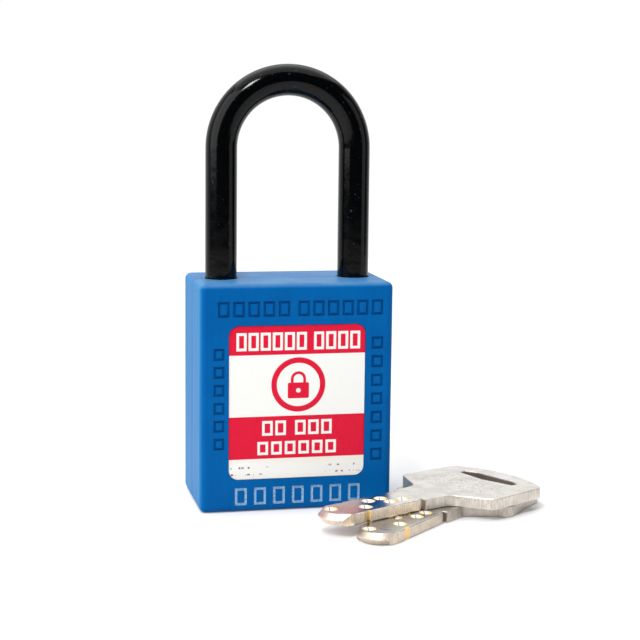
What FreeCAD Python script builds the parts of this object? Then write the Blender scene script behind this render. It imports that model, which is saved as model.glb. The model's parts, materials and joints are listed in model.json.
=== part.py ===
import FreeCAD, Part
import math
import os
import re
import Sketcher

# Keyed safety padlock: a two-part moulded case, a U shackle locked by two sliding bolts, a dimple-key
# cylinder turned from below, and two keys that lie in front of it. Millimetres.
# Origin at the centre of the case's base, +X right seen from the front, +Y to the back, +Z up.

DRIVING_DIMENSIONS = {
    # fits, and how far a cutting tool reaches past what it cuts
    "close_gap": 0.05,
    "sliding_gap": 0.1,
    "play": 0.15,
    "loose_gap": 0.2,
    "wide_gap": 0.3,
    "end_room": 0.5,
    "overcut": 1.0,
    # case
    "body_width": 38.0,
    "body_depth": 22.0,
    "body_height": 44.5,
    "body_round": 1.2,
    "parting_groove_width": 0.24,
    "parting_groove_depth": 0.25,
    # labels and marks on the case
    "recess_half_width": 13.5,
    "recess_bottom": 6.3,
    "recess_top": 36.5,
    "recess_round": 2.0,
    "recess_depth": 0.35,
    "label_thickness": 0.2,
    "label_margin": 0.1,
    "mark_stroke": 0.48,
    "mark_depth": 0.28,
    # shackle
    "bar_radius": 3.1,
    "leg_offset": 13.3,
    "arch_centre": 70.0,
    "toe_end": 34.2,
    "heel_end": 17.3,
    "neck_radius": 2.0,
    "neck_bottom": 20.0,
    "neck_top": 33.0,
    "lift_travel": 10.6,
    "spring_floor": 11.0,
    "notch_floor": 11.75,
    "notch_ramp": 1.59,
    "end_chamfer": 0.4,
    # keeper plate round the neck of the long leg
    "keeper_bottom": 30.75,
    "keeper_thickness": 1.5,
    "keeper_half_width": 4.2,
    # locking bolts and crank disc
    "bolt_bottom": 39.6,
    "bolt_thickness": 2.0,
    "nose_tip": 11.5,
    "nose_root": 8.3,
    "nose_half_width": 2.4,
    "arm_start": 0.08,
    "arm_inner": 0.25,
    "arm_outer": 5.0,
    "bolt_travel": 3.96,
    "crank_radius": 2.8,
    "crank_pin_radius": 0.9,
    "crank_play": 0.2,
    "disc_bottom": 38.1,
    "disc_radius": 4.6,
    "disc_thickness": 1.3,
    "disc_screw_radius": 1.0,
    "disc_screw_end": 33.0,
    "disc_screw_head_radius": 1.8,
    "disc_screw_slot_half_width": 0.2,
    "disc_screw_slot_depth": 0.35,
    "tenon_length": 6.0,
    "tenon_width": 2.4,
    "tenon_height": 0.4,
    # lock cylinder
    "housing_radius": 6.9,
    "housing_bottom": 0.3,
    "housing_top": 27.0,
    "flange_radius": 7.8,
    "flange_bottom": 24.0,
    "flange_top": 25.5,
    "bible_end": 12.0,
    "bible_half_width": 3.6,
    "bible_bottom": 1.5,
    "bible_top": 23.0,
    "cap_thickness": 0.8,
    "plug_radius": 5.25,
    "plug_head_radius": 6.0,
    "plug_head_top": 1.6,
    "plug_bottom": 0.4,
    "plug_top": 29.0,
    "spindle_radius": 3.4,
    "clip_groove_bottom": 27.1,
    "clip_groove_width": 1.0,
    "clip_inner_radius": 4.65,
    "clip_outer_radius": 6.3,
    "clip_mouth_half_width": 2.0,
    "keyway_half_width": 1.2,
    "keyway_half_height": 4.1,
    "keyway_end": 23.0,
    # pins and their springs
    "pin_radius": 1.1,
    "chamber_radius": 1.25,
    "pin_row_offset": 1.45,
    "pin_tip_radius": 0.25,
    "pin_tip_root_radius": 0.6,
    "pin_tip_reach": 0.3,
    "pin_window_radius": 0.75,
    "key_pin_inner": 2.3,
    "key_pin_outer": 4.5,
    "driver_inner": 5.4,
    "driver_outer": 8.0,
    "pin_spring_wire": 0.14,
    "pin_spring_radius": 0.75,
    "pin_spring_turns": 6,
    # shackle spring
    "spring_wire": 0.35,
    "spring_radius": 2.3,
    "spring_turns": 4.5,
    # case screws
    "screw_head_radius": 1.8,
    "screw_head_height": 1.4,
    "screw_head_face": 10.3,
    "screw_shank_radius": 1.1,
    "screw_end": 6.5,
    "screw_socket_radius": 0.95,
    "screw_socket_depth": 0.84,
    # keys, along the blade from the nose
    "key_thickness": 2.2,
    "blade_half_width": 4.0,
    "nose_half_width": 3.5,
    "nose_radius": 4.5,
    "nose_taper_end": 5.0,
    "nose_bevel_height": 1.0,
    "nose_bevel_length": 0.9,
    "stop_distance": 21.7,
    "stop_half_width": 4.5,
    "stop_relief_length": 0.8,
    "stop_relief_depth": 0.6,
    "neck_end": 27.9,
    "neck_half_width": 5.1,
    "neck_fillet_radius": 2.0,
    "bow_start": 32.0,
    "bow_start_half_width": 13.0,
    "bow_end": 46.1,
    "bow_end_half_width": 12.1,
    "bow_end_radius": 24.5,
    "bow_corner_radius": 1.8,
    "ring_slot_start": 41.9,
    "ring_slot_end": 45.4,
    "ring_slot_half_width": 7.2,
    "ring_slot_straight": 4.8,
    "ring_slot_tip_half_length": 0.8,
    "rim_round": 0.22,
    "dimple_radius": 1.35,
    "dimple_floor_radius": 0.35,
    "dimple_depth": 0.65,
    "edge_cut_distance": 7.3,
    "edge_cut_radius": 0.9,
    "edge_cut_depth": 0.5,
}

# The chambers are where the key's dimples stop: distance from the key's nose and side of its centre line.
DIMPLES = [(2.9, 1), (9.05, -1), (12.35, 1), (15.5, 1), (15.4, -1), (18.7, -1)]

# Each key as it lies: where a point of its centre line is, its heading from +X, and its underside.
KEY_REFERENCE = 15.3
KEYS = {
    "lower_key": {"x": 18.5, "y": -27.3, "z": 0.0, "heading": 44.8},
    "upper_key": {"x": 14.5, "y": -23.75, "z": 2.25, "heading": 28.35},
}

# Case screws: position on the back.
SCREWS = [(-7.0, 33.0), (7.0, 33.0), (-11.5, 8.5), (11.5, 26.5)]

# Rows of debossed frames on the front: first corner, size, pitch, how many, and which way the row runs.
MARK_ROWS = {
    "top_row_left": {"x": -15.6, "z": 38.2, "width": 2.25, "height": 3.0, "pitch": 2.95, "count": 5},
    "top_row_right": {"x": 0.05, "z": 38.2, "width": 2.25, "height": 3.0, "pitch": 2.91, "count": 6},
    "base_row": {"x": -12.2, "z": 1.35, "width": 2.35, "height": 3.4, "pitch": 3.75, "count": 7},
    "left_column": {"x": -16.4, "z": 12.4, "width": 2.1, "height": 2.3, "pitch": 3.5, "count": 6},
    "right_column": {"x": 14.7, "z": 9.3, "width": 2.3, "height": 2.4, "pitch": 3.7, "count": 7},
}

doc = FreeCAD.newDocument("safety_padlock")
dim = doc.addObject("Spreadsheet::Sheet", "dim")
for row, (alias, size) in enumerate(DRIVING_DIMENSIONS.items(), start=1):
    dim.set(f"A{row}", alias.replace("_", " "))
    dim.set(f"B{row}", str(size))
    dim.setAlias(f"B{row}", alias)
doc.recompute()

TURN_ONTO = {
    "X": FreeCAD.Rotation(FreeCAD.Vector(0, 1, 0), 90),
    "Y": FreeCAD.Rotation(FreeCAD.Vector(1, 0, 0), -90),
    "Z": FreeCAD.Rotation(),
}
WIRE_START_TILT = FreeCAD.Rotation(FreeCAD.Vector(1, 0, 0), 90)

# Edges are picked by place, to within NEAR millimetres, and by direction, at least ALONG of it on an axis.
NEAR = 0.01
ALONG = 0.99

# Where a coil's centre line starts, in wire radii from the face that it rests on.
COIL_END = 1.1


def cells(expression):
    """The expression with each alias of the sheet written as dim.alias."""
    def named(word):
        return f"dim.{word[0]}" if word[0] in DRIVING_DIMENSIONS else word[0]

    return re.sub(r"[a-z]\w*", named, str(expression))


def value(expression):
    """What an expression in the sheet's aliases comes to."""
    return float(dim.evalExpression(str(expression)))


def bind(item, **expressions):
    """Bind properties to the sheet; x, y and z stand for the position."""
    for name, expression in expressions.items():
        path = f"Placement.Base.{name}" if name in "xyz" else name
        item.setExpression(path, cells(expression))
    return item


# ---- solids from primitives ----

def box(name, x, y, z):
    """A block between the two expressions of each pair."""
    block = doc.addObject("Part::Box", name)
    bind(block, x=x[0], y=y[0], z=z[0])
    length, width, height = (f"({last}) - ({first})" for first, last in (x, y, z))
    return bind(block, Length=length, Width=width, Height=height)


def rod(name, radius, start, end, axis="Z", x=0, y=0, z=0):
    """A cylinder along one axis between two expressions, through the point given by the other two."""
    cylinder = doc.addObject("Part::Cylinder", name)
    cylinder.Placement.Rotation = TURN_ONTO[axis]
    place = {"x": x, "y": y, "z": z, axis.lower(): start}
    return bind(cylinder, Radius=radius, Height=f"({end}) - ({start})", **place)


def cone(name, first_radius, last_radius, start, end, axis="Z", x=0, y=0, z=0):
    """A cone frustum along one axis, its first radius at start."""
    frustum = doc.addObject("Part::Cone", name)
    frustum.Placement.Rotation = TURN_ONTO[axis]
    place = {"x": x, "y": y, "z": z, axis.lower(): start}
    return bind(frustum, Radius1=first_radius, Radius2=last_radius, Height=f"({end}) - ({start})", **place)


def fuse(name, *solids):
    """One solid of several."""
    union = doc.addObject("Part::MultiFuse", name)
    union.Shapes = list(solids)
    union.Refine = True
    return union


def cut(name, base, *tools):
    """The base without the tools."""
    difference = doc.addObject("Part::Cut", name)
    difference.Base = base
    difference.Tool = tools[0] if len(tools) == 1 else fuse(name + "_tools", *tools)
    return difference


def common(name, first, second):
    """What two solids share."""
    overlap = doc.addObject("Part::Common", name)
    overlap.Base = first
    overlap.Tool = second
    return overlap


def coil(name, wire, radius, turns, start, end, axis="Z", x=0, y=0, z=0):
    """A compression spring of round wire that fills the space between start and end."""
    helix = doc.addObject("Part::Helix", name + "_helix")
    rise = f"(({end}) - ({start}) - 2 * {COIL_END} * {wire})"
    bind(helix, Radius=radius, Height=rise, Pitch=f"{rise} / ({turns})")
    section = doc.addObject("Part::Circle", name + "_section")
    section.Placement.Rotation = WIRE_START_TILT
    bind(section, Radius=wire, x=radius)
    spring = doc.addObject("Part::Sweep", name)
    spring.Sections = [section]
    spring.Spine = (helix, ["Edge1"])
    spring.Solid = True
    spring.Frenet = True
    spring.Placement.Rotation = TURN_ONTO[axis]
    place = {"x": x, "y": y, "z": z, axis.lower(): f"{start} + {COIL_END} * {wire}"}
    return bind(spring, **place)


# ---- bodies from sketches ----

def new_body(name):
    """An empty body."""
    return doc.addObject("PartDesign::Body", name)


def sketch_in(body, name, plane, offset=0):
    """A sketch on one of the body's origin planes, offset along that plane's normal."""
    sketch = body.newObject("Sketcher::SketchObject", name)
    support = next(item for item in body.Origin.OriginFeatures if item.Role == plane)
    sketch.AttachmentSupport = [(support, "")]
    sketch.MapMode = "FlatFace"
    sketch.setExpression("AttachmentOffset.Base.z", cells(offset))
    return sketch


def arc_between(first, last, radius):
    """The minor arc from first to last, to the right of their chord for a positive radius."""
    chord = last - first
    half = chord.Length / 2
    rise = abs(radius) - math.sqrt(radius**2 - half**2)
    outward = FreeCAD.Vector(chord.y, -chord.x, 0).normalize() * math.copysign(rise, radius)
    return Part.Arc(first, first + chord / 2 + outward, last)


def outline(sketch, points):
    """A closed outline whose corners are pairs of expressions; a third one makes the next side an arc."""
    corners = [FreeCAD.Vector(value(p[0]), value(p[1]), 0) for p in points]
    first_side = sketch.GeometryCount
    ends = []
    for i, corner in enumerate(corners):
        following = corners[(i + 1) % len(corners)]
        radius = value(points[i][2]) if len(points[i]) > 2 else 0
        side = arc_between(corner, following, radius) if radius else Part.LineSegment(corner, following)
        sketch.addGeometry(side, False)
        ends.append((2, 1) if radius < 0 else (1, 2))
    for i, point in enumerate(points):
        side = first_side + i
        after = (i + 1) % len(points)
        meeting = (side, ends[i][1], first_side + after, ends[after][0])
        sketch.addConstraint(Sketcher.Constraint("Coincident", *meeting))
        for kind, expression in zip(("DistanceX", "DistanceY"), point):
            pin = Sketcher.Constraint(kind, -1, 1, side, ends[i][0], value(expression))
            number = sketch.addConstraint(pin)
            sketch.setExpression(f"Constraints[{number}]", cells(expression))
        if len(point) > 2:
            number = sketch.addConstraint(Sketcher.Constraint("Radius", side, abs(value(point[2]))))
            sketch.setExpression(f"Constraints[{number}]", cells(f"abs({point[2]})"))


def rectangle(sketch, left, bottom, right, top):
    """A rectangle between four expressions."""
    outline(sketch, [(left, bottom), (right, bottom), (right, top), (left, top)])


def rounded_rectangle(sketch, left, bottom, right, top, radius):
    """A rectangle with round corners."""
    radius = f"({radius})"
    outline(sketch, [
        (f"{left} + {radius}", bottom), (f"{right} - {radius}", bottom, radius),
        (right, f"{bottom} + {radius}"), (right, f"{top} - {radius}", radius),
        (f"{right} - {radius}", top), (f"{left} + {radius}", top, radius),
        (left, f"{top} - {radius}"), (left, f"{bottom} + {radius}", radius),
    ])


def circle(sketch, x, y, radius):
    """A circle on two expressions."""
    centre = FreeCAD.Vector(value(x), value(y), 0)
    side = sketch.addGeometry(Part.Circle(centre, FreeCAD.Vector(0, 0, 1), value(radius)), False)
    for constraint, expression in (
        (Sketcher.Constraint("DistanceX", -1, 1, side, 3, centre.x), x),
        (Sketcher.Constraint("DistanceY", -1, 1, side, 3, centre.y), y),
        (Sketcher.Constraint("Radius", side, value(radius)), radius),
    ):
        number = sketch.addConstraint(constraint)
        sketch.setExpression(f"Constraints[{number}]", cells(expression))


def extrude(body, kind, sketch, length, midplane=False):
    """A pad or a pocket of a sketch."""
    feature = body.newObject(f"PartDesign::{kind}", f"{sketch.Name}_{kind.lower()}")
    feature.Profile = sketch
    feature.Midplane = midplane
    feature.setExpression("Length", cells(length))
    sketch.Visibility = False
    return feature


def dress(body, kind, edges, size):
    """A fillet or a chamfer on edges of the body's last feature."""
    base = body.Tip
    feature = body.newObject(f"PartDesign::{kind}", f"{body.Name}_{kind.lower()}")
    feature.Base = (base, edges)
    feature.setExpression("Radius" if kind == "Fillet" else "Size", cells(size))
    return feature


def edges_of(feature, wanted):
    """Names of a feature's edges that satisfy a test."""
    doc.recompute()
    return [f"Edge{n}" for n, edge in enumerate(feature.Shape.Edges, start=1) if wanted(edge)]


def rounded_plate(name, left, bottom, right, top, radius, back, thickness):
    """A plate parallel to the front, from its back face towards the front."""
    body = new_body(name)
    sketch = sketch_in(body, name + "_outline", "XZ_Plane", f"-({back})")
    rounded_rectangle(sketch, left, bottom, right, top, radius)
    extrude(body, "Pad", sketch, thickness)
    return body


# ---- case ----

def case_block():
    """The whole outer form of the case, with its recesses and debossed frames."""
    body = new_body("case_block")
    plan = sketch_in(body, "case_plan", "XY_Plane")
    rectangle(plan, "-body_width / 2", "-body_depth / 2", "body_width / 2", "body_depth / 2")
    block = extrude(body, "Pad", plan, "body_height")
    dress(body, "Fillet", edges_of(block, lambda edge: True), "body_round")
    for side, face in (("front", "body_depth / 2"), ("rear", "-body_depth / 2 + recess_depth")):
        recess = sketch_in(body, f"{side}_recess", "XZ_Plane", face)
        rounded_rectangle(recess, "-recess_half_width", "recess_bottom", "recess_half_width",
                          "recess_top", "recess_round")
        extrude(body, "Pocket", recess, "recess_depth")
    for name, row in MARK_ROWS.items():
        mark_row(body, name, **row)
    return body


def mark_row(body, name, x, z, width, height, pitch, count):
    """A row or column of equal debossed frames."""
    frame = sketch_in(body, name, "XZ_Plane", "body_depth / 2")
    rectangle(frame, x, z, x + width, z + height)
    rectangle(frame, f"{x} + mark_stroke", f"{z} + mark_stroke", f"{x + width} - mark_stroke",
              f"{z + height} - mark_stroke")
    pocket = extrude(body, "Pocket", frame, "mark_depth")
    pattern = body.newObject("PartDesign::LinearPattern", name + "_pattern")
    pattern.Originals = [pocket]
    pattern.Direction = (frame, ["V_Axis" if "column" in name else "H_Axis"])
    pattern.Length = pitch * (count - 1)
    pattern.Occurrences = count
    body.Tip = pattern


def parting_groove():
    """The fine groove all round the case where its two halves meet."""
    inner = rounded_plate("parting_core", "-body_width / 2 + parting_groove_depth", "parting_groove_depth",
                          "body_width / 2 - parting_groove_depth", "body_height - parting_groove_depth",
                          "body_round - parting_groove_depth", "overcut", "2 * overcut")
    outer = box("parting_slab", ("-body_width", "body_width"),
                ("-parting_groove_width / 2", "parting_groove_width / 2"),
                ("-overcut", "body_height + overcut"))
    return cut("parting_groove", outer, inner)


def cavity():
    """Everything that the two halves are hollow for."""
    spaces = [
        rod("barrel_space", "housing_radius + sliding_gap", "-overcut", "plug_top + wide_gap"),
        rod("flange_space", "flange_radius + sliding_gap", "flange_bottom - sliding_gap",
            "flange_top + sliding_gap"),
        box("bible_space", ("0", "bible_end + cap_thickness + loose_gap"),
            ("-bible_half_width - sliding_gap", "bible_half_width + sliding_gap"),
            ("bible_bottom - sliding_gap", "bible_top + sliding_gap")),
        rod("spindle_space", "spindle_radius + wide_gap", "plug_top", "disc_bottom"),
        rod("disc_space", "disc_radius + loose_gap", "disc_bottom - loose_gap", "bolt_bottom"),
        box("bolt_space", ("-nose_tip - end_room", "nose_tip + end_room"),
            ("-arm_outer - loose_gap", "arm_outer + loose_gap"),
            ("bolt_bottom - play", "bolt_bottom + bolt_thickness + loose_gap")),
        rod("toe_space", "bar_radius + play", "toe_end - wide_gap", "body_height + overcut", x="leg_offset"),
        rod("heel_space", "bar_radius + play", "spring_floor", "body_height + overcut", x="-leg_offset"),
        box("keeper_space", ("-leg_offset - keeper_half_width", "-leg_offset + keeper_half_width"),
            ("-keeper_half_width - sliding_gap", "keeper_half_width + sliding_gap"),
            ("keeper_bottom - close_gap", "keeper_bottom + keeper_thickness + close_gap")),
        parting_groove(),
    ]
    for number, (x, z) in enumerate(SCREWS, start=1):
        spaces.append(rod(f"screw_hole_{number}", "screw_shank_radius + close_gap", "-screw_end - end_room",
                          "body_depth / 2", "Y", x=x, z=z))
        spaces.append(rod(f"screw_seat_{number}", "screw_head_radius + loose_gap",
                          "screw_head_face - screw_head_height", "body_depth / 2", "Y", x=x, z=z))
    return fuse("cavity", *spaces)


def shells():
    """The front and the rear half of the case."""
    block = case_block()
    hollow = cavity()
    halves = {"front_shell": ("-body_depth", "0"), "rear_shell": ("0", "body_depth")}
    made = []
    for name, span in halves.items():
        side = box(name + "_side", ("-body_width", "body_width"), span,
                   ("-overcut", "body_height + overcut"))
        made.append(cut(name, common(name + "_half", block, side), hollow))
    return made


def labels():
    """The front and the rear label, each on the floor of its recess."""
    floor = "body_depth / 2 - recess_depth"
    made = []
    for name, back in (("front_label", f"-({floor})"), ("rear_label", f"{floor} + label_thickness")):
        made.append(rounded_plate(name, "-recess_half_width + label_margin", "recess_bottom + label_margin",
                                  "recess_half_width - label_margin", "recess_top - label_margin",
                                  "recess_round - label_margin", back, "label_thickness"))
    return made


def case_screws():
    """Four socket-head screws, driven in from the back."""
    screws = []
    for number, (x, z) in enumerate(SCREWS, start=1):
        head_seat = "screw_head_face - screw_head_height"
        head = rod(f"screw_head_{number}", "screw_head_radius", head_seat, "screw_head_face", "Y", x=x, z=z)
        shank = rod(f"screw_shank_{number}", "screw_shank_radius", "-screw_end", head_seat, "Y", x=x, z=z)
        socket = doc.addObject("Part::Prism", f"screw_socket_{number}")
        socket.Placement.Rotation = TURN_ONTO["Y"]
        bind(socket, Circumradius="screw_socket_radius", Height="screw_head_height", x=x, z=z,
             y="screw_head_face - screw_socket_depth")
        screws.append(cut(f"screw_{number}", fuse(f"screw_blank_{number}", head, shank), socket))
    group = doc.addObject("Part::Compound", "case_screws")
    group.Links = screws
    return group


# ---- shackle ----

def shackle():
    """Round bar bent to a U, with a bolt notch in each leg and a neck on the long one."""
    body = new_body("shackle")
    section = sketch_in(body, "bar_section", "XY_Plane", "toe_end")
    circle(section, "leg_offset", "0", "bar_radius")
    path = sketch_in(body, "bar_path", "XZ_Plane")
    toe, shoulder, far_shoulder, heel = (
        FreeCAD.Vector(value(x), value(z), 0)
        for x, z in (("leg_offset", "toe_end"), ("leg_offset", "arch_centre"),
                     ("-leg_offset", "arch_centre"), ("-leg_offset", "heel_end"))
    )
    crown = FreeCAD.Vector(0, value("arch_centre + leg_offset"), 0)
    path.addGeometry([Part.LineSegment(toe, shoulder), Part.Arc(shoulder, crown, far_shoulder),
                      Part.LineSegment(far_shoulder, heel)], False)
    for constraint, expression in (
        (Sketcher.Constraint("DistanceX", -1, 1, 0, 1, toe.x), "leg_offset"),
        (Sketcher.Constraint("DistanceY", -1, 1, 0, 1, toe.y), "toe_end"),
        (Sketcher.Constraint("DistanceX", -1, 1, 0, 2, shoulder.x), "leg_offset"),
        (Sketcher.Constraint("DistanceY", -1, 1, 0, 2, shoulder.y), "arch_centre"),
        (Sketcher.Constraint("DistanceX", -1, 1, 1, 3, 0.0), "0"),
        (Sketcher.Constraint("DistanceY", -1, 1, 1, 3, shoulder.y), "arch_centre"),
        (Sketcher.Constraint("DistanceY", -1, 1, 2, 1, far_shoulder.y), "arch_centre"),
        (Sketcher.Constraint("DistanceX", -1, 1, 2, 2, heel.x), "-leg_offset"),
        (Sketcher.Constraint("DistanceY", -1, 1, 2, 2, heel.y), "heel_end"),
        (Sketcher.Constraint("Coincident", 0, 2, 1, 1), None),
        (Sketcher.Constraint("Coincident", 1, 2, 2, 1), None),
    ):
        number = path.addConstraint(constraint)
        if expression:
            path.setExpression(f"Constraints[{number}]", cells(expression))
    bar = body.newObject("PartDesign::AdditivePipe", "bar")
    bar.Profile = section
    bar.Spine = (path, ["Edge1", "Edge2", "Edge3"])
    notch = sketch_in(body, "bolt_notches", "XZ_Plane")
    bolt_top = "bolt_bottom + bolt_thickness + play"
    ramp_bottom = "bolt_bottom - play - notch_ramp * lift_travel / bolt_travel"
    past_bar = "leg_offset - bar_radius - overcut"
    for side in ("", "-"):
        outline(notch, [
            (f"{side}({past_bar})", ramp_bottom),
            (f"{side}(notch_floor - notch_ramp)", ramp_bottom),
            (f"{side}notch_floor", "bolt_bottom - play"),
            (f"{side}notch_floor", bolt_top),
            (f"{side}({past_bar})", bolt_top),
        ])
    extrude(body, "Pocket", notch, "4 * bar_radius", midplane=True)
    relief = sketch_in(body, "neck_relief", "XZ_Plane")
    relief.setExpression("AttachmentOffset.Base.x", cells("-leg_offset"))
    rectangle(relief, "neck_radius", "neck_bottom", "bar_radius + overcut", "neck_top")
    neck = body.newObject("PartDesign::Groove", "neck")
    neck.Profile = relief
    neck.ReferenceAxis = (relief, ["V_Axis"])
    neck.Angle = 360
    leg_ends = (value("toe_end"), value("heel_end"))
    rims = edges_of(neck, lambda edge: isinstance(edge.Curve, Part.Circle)
                    and abs(edge.Curve.Axis.z) > ALONG
                    and min(abs(edge.Curve.Center.z - end) for end in leg_ends) < NEAR)
    dress(body, "Chamfer", rims, "end_chamfer")
    return body


def shackle_keeper():
    """U plate that lets the neck slide but not the foot of the long leg."""
    half = "(keeper_half_width - sliding_gap)"
    seat_radius = "(neck_radius + play)"
    through = ("keeper_bottom - overcut", "keeper_bottom + keeper_thickness + overcut")
    plate = box("keeper_plate", (f"-leg_offset - {half}", f"-leg_offset + {half}"),
                ("-keeper_half_width", "keeper_half_width"),
                ("keeper_bottom", "keeper_bottom + keeper_thickness"))
    seat = rod("keeper_seat", seat_radius, *through, x="-leg_offset")
    mouth = box("keeper_mouth", (f"-leg_offset - {seat_radius}", f"-leg_offset + {seat_radius}"),
                ("0", "2 * keeper_half_width"), through)
    return cut("shackle_keeper", plate, seat, mouth)


# ---- lock cylinder ----

def chambers():
    """Number, side of the centre line and height of each pin chamber."""
    for number, (distance, side) in enumerate(DIMPLES, start=1):
        yield number, f"{side} * pin_row_offset", f"plug_bottom + stop_distance - {distance}"


def cylinder_housing():
    """Barrel that the plug turns in, with the driver chambers in its side block."""
    barrel = rod("barrel", "housing_radius", "housing_bottom", "housing_top")
    flange = rod("barrel_flange", "flange_radius", "flange_bottom", "flange_top")
    bible = box("bible", ("0", "bible_end"), ("-bible_half_width", "bible_half_width"),
                ("bible_bottom", "bible_top"))
    tools = [rod("plug_bore", "plug_radius + close_gap", "-overcut", "housing_top + overcut"),
             rod("plug_head_seat", "plug_head_radius + sliding_gap", "-overcut",
                 "plug_head_top + sliding_gap")]
    for number, y, z in chambers():
        tools.append(rod(f"chamber_{number}", "chamber_radius", "keyway_half_width",
                         "bible_end + overcut", "X", y=y, z=z))
    return cut("cylinder_housing", fuse("housing_blank", barrel, flange, bible), *tools)


def chamber_cap():
    """Strip that closes the outer ends of the chambers."""
    return box("chamber_cap", ("bible_end", "bible_end + cap_thickness"),
               ("-bible_half_width", "bible_half_width"), ("bible_bottom", "bible_top"))


def plug():
    """Plug with keyway and key-pin chambers, its spindle, and the tenon that drives the disc."""
    solid = fuse(
        "plug_blank",
        rod("plug_head", "plug_head_radius", "plug_bottom", "plug_head_top"),
        rod("plug_barrel", "plug_radius", "plug_bottom", "plug_top"),
        rod("spindle", "spindle_radius", "plug_bottom", "disc_bottom"),
        box("tenon", ("-tenon_length / 2", "tenon_length / 2"), ("-tenon_width / 2", "tenon_width / 2"),
            ("plug_top", "disc_bottom + tenon_height")),
    )
    groove_top = "clip_groove_bottom + clip_groove_width"
    groove = cut("clip_groove",
                 rod("clip_groove_outer", "plug_radius + overcut", "clip_groove_bottom", groove_top),
                 rod("clip_groove_inner", "clip_inner_radius - close_gap", "clip_groove_bottom - overcut",
                     f"{groove_top} + overcut"))
    tools = [
        groove,
        box("keyway", ("-keyway_half_width", "keyway_half_width"),
            ("-keyway_half_height", "keyway_half_height"), ("-overcut", "keyway_end")),
        rod("disc_screw_hole", "disc_screw_radius + close_gap", "disc_screw_end - end_room",
            "disc_bottom + overcut"),
    ]
    for number, y, z in chambers():
        tools.append(rod(f"plug_chamber_{number}", "pin_radius + sliding_gap",
                         "key_pin_inner - 2 * pin_tip_reach", "plug_radius + overcut", "X", y=y, z=z))
        tools.append(rod(f"pin_window_{number}", "pin_window_radius", "keyway_half_width - sliding_gap",
                         "key_pin_inner", "X", y=y, z=z))
    return cut("plug", solid, *tools)


def plug_clip():
    """C-clip in the plug's groove, above the housing."""
    bottom = "clip_groove_bottom + close_gap"
    top = "clip_groove_bottom + clip_groove_width - close_gap"
    ring = cut("clip_ring", rod("clip_outer", "clip_outer_radius", bottom, top),
               rod("clip_inner", "clip_inner_radius", "plug_bottom", "plug_top"))
    mouth = box("clip_mouth", ("-2 * clip_outer_radius", "0"),
                ("-clip_mouth_half_width", "clip_mouth_half_width"), ("plug_bottom", "plug_top"))
    return cut("plug_clip", ring, mouth)


def pin_stack(number, y, z):
    """A key pin, its driver pin and its spring, with the pins meeting at the edge of the plug."""
    tip = cone(f"key_pin_tip_{number}", "pin_tip_radius", "pin_tip_root_radius",
               "keyway_half_width - pin_tip_reach", "key_pin_inner", "X", y=y, z=z)
    stem = rod(f"key_pin_stem_{number}", "pin_radius", "key_pin_inner", "key_pin_outer", "X", y=y, z=z)
    key_pin = fuse(f"key_pin_{number}", tip, stem)
    driver = rod(f"driver_pin_{number}", "pin_radius", "driver_inner", "driver_outer", "X", y=y, z=z)
    spring = coil(f"pin_spring_{number}", "pin_spring_wire", "pin_spring_radius", "pin_spring_turns",
                  "driver_outer", "bible_end", "X", y=y, z=z)
    return [key_pin, driver, spring]


# ---- bolt work ----

def locking_bolt(name, heading):
    """Bolt plate whose nose locks one leg; its slot rides on a crank pin. Turned about Z by its heading."""
    body = new_body(name)
    plan = sketch_in(body, name + "_plan", "XY_Plane", "bolt_bottom")
    outline(plan, [
        ("arm_start", "arm_inner"), ("nose_root", "arm_inner"), ("nose_root", "-nose_half_width"),
        ("nose_tip", "-nose_half_width"), ("nose_tip", "nose_half_width"),
        ("nose_root", "nose_half_width"), ("nose_root", "arm_outer"), ("arm_start", "arm_outer"),
    ])
    slot_centre = "crank_radius * sqrt(0.5)"
    half = "(crank_pin_radius + crank_play)"
    rectangle(plan, f"{slot_centre} - {half}", f"{slot_centre} - {half}",
              f"{slot_centre} + {half}", f"crank_radius + {half}")
    plate = extrude(body, "Pad", plan, "bolt_thickness")
    tip_edges = edges_of(plate, lambda edge: edge.CenterOfMass.x > value("nose_tip") - NEAR
                         and abs(edge.tangentAt(edge.FirstParameter).z) > ALONG)
    dress(body, "Chamfer", tip_edges, "end_chamfer")
    body.Placement.Rotation = FreeCAD.Rotation(FreeCAD.Vector(0, 0, 1), heading)
    return body


def drive_disc():
    """Disc on the spindle with a crank pin for each bolt."""
    top = "disc_bottom + disc_thickness"
    disc = rod("disc_blank", "disc_radius", "disc_bottom", top)
    reach = "crank_radius * sqrt(0.5)"
    crank_top = "bolt_bottom + bolt_thickness"
    pins = [rod(f"crank_pin_{side}", "crank_pin_radius", "disc_bottom", crank_top, x=f"{sign}{reach}",
                y=f"{sign}{reach}") for side, sign in (("right", ""), ("left", "-"))]
    slot_top = "disc_bottom + tenon_height + close_gap"
    tools = [
        box("disc_slot", ("-tenon_length / 2 - close_gap", "tenon_length / 2 + close_gap"),
            ("-tenon_width / 2 - close_gap", "tenon_width / 2 + close_gap"),
            ("disc_bottom - overcut", slot_top)),
        rod("disc_hole", "disc_screw_radius + close_gap", "disc_bottom - overcut", top),
        cone("disc_countersink", "disc_screw_radius + close_gap", "disc_screw_head_radius + play",
             slot_top, top),
    ]
    return cut("drive_disc", fuse("disc_with_pins", disc, *pins), *tools)


def disc_screw():
    """Countersunk screw, flush with the top of the disc."""
    head_top = "disc_bottom + disc_thickness - close_gap"
    head_root = "disc_bottom + tenon_height + play"
    head = cone("disc_screw_head", "disc_screw_radius", "disc_screw_head_radius", head_root, head_top)
    shank = rod("disc_screw_shank", "disc_screw_radius", "disc_screw_end", head_root)
    slot = box("disc_screw_slot", ("-disc_radius", "disc_radius"),
               ("-disc_screw_slot_half_width", "disc_screw_slot_half_width"),
               (f"{head_top} - disc_screw_slot_depth", f"{head_top} + overcut"))
    return cut("disc_screw", fuse("disc_screw_blank", head, shank), slot)


# ---- keys ----

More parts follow.
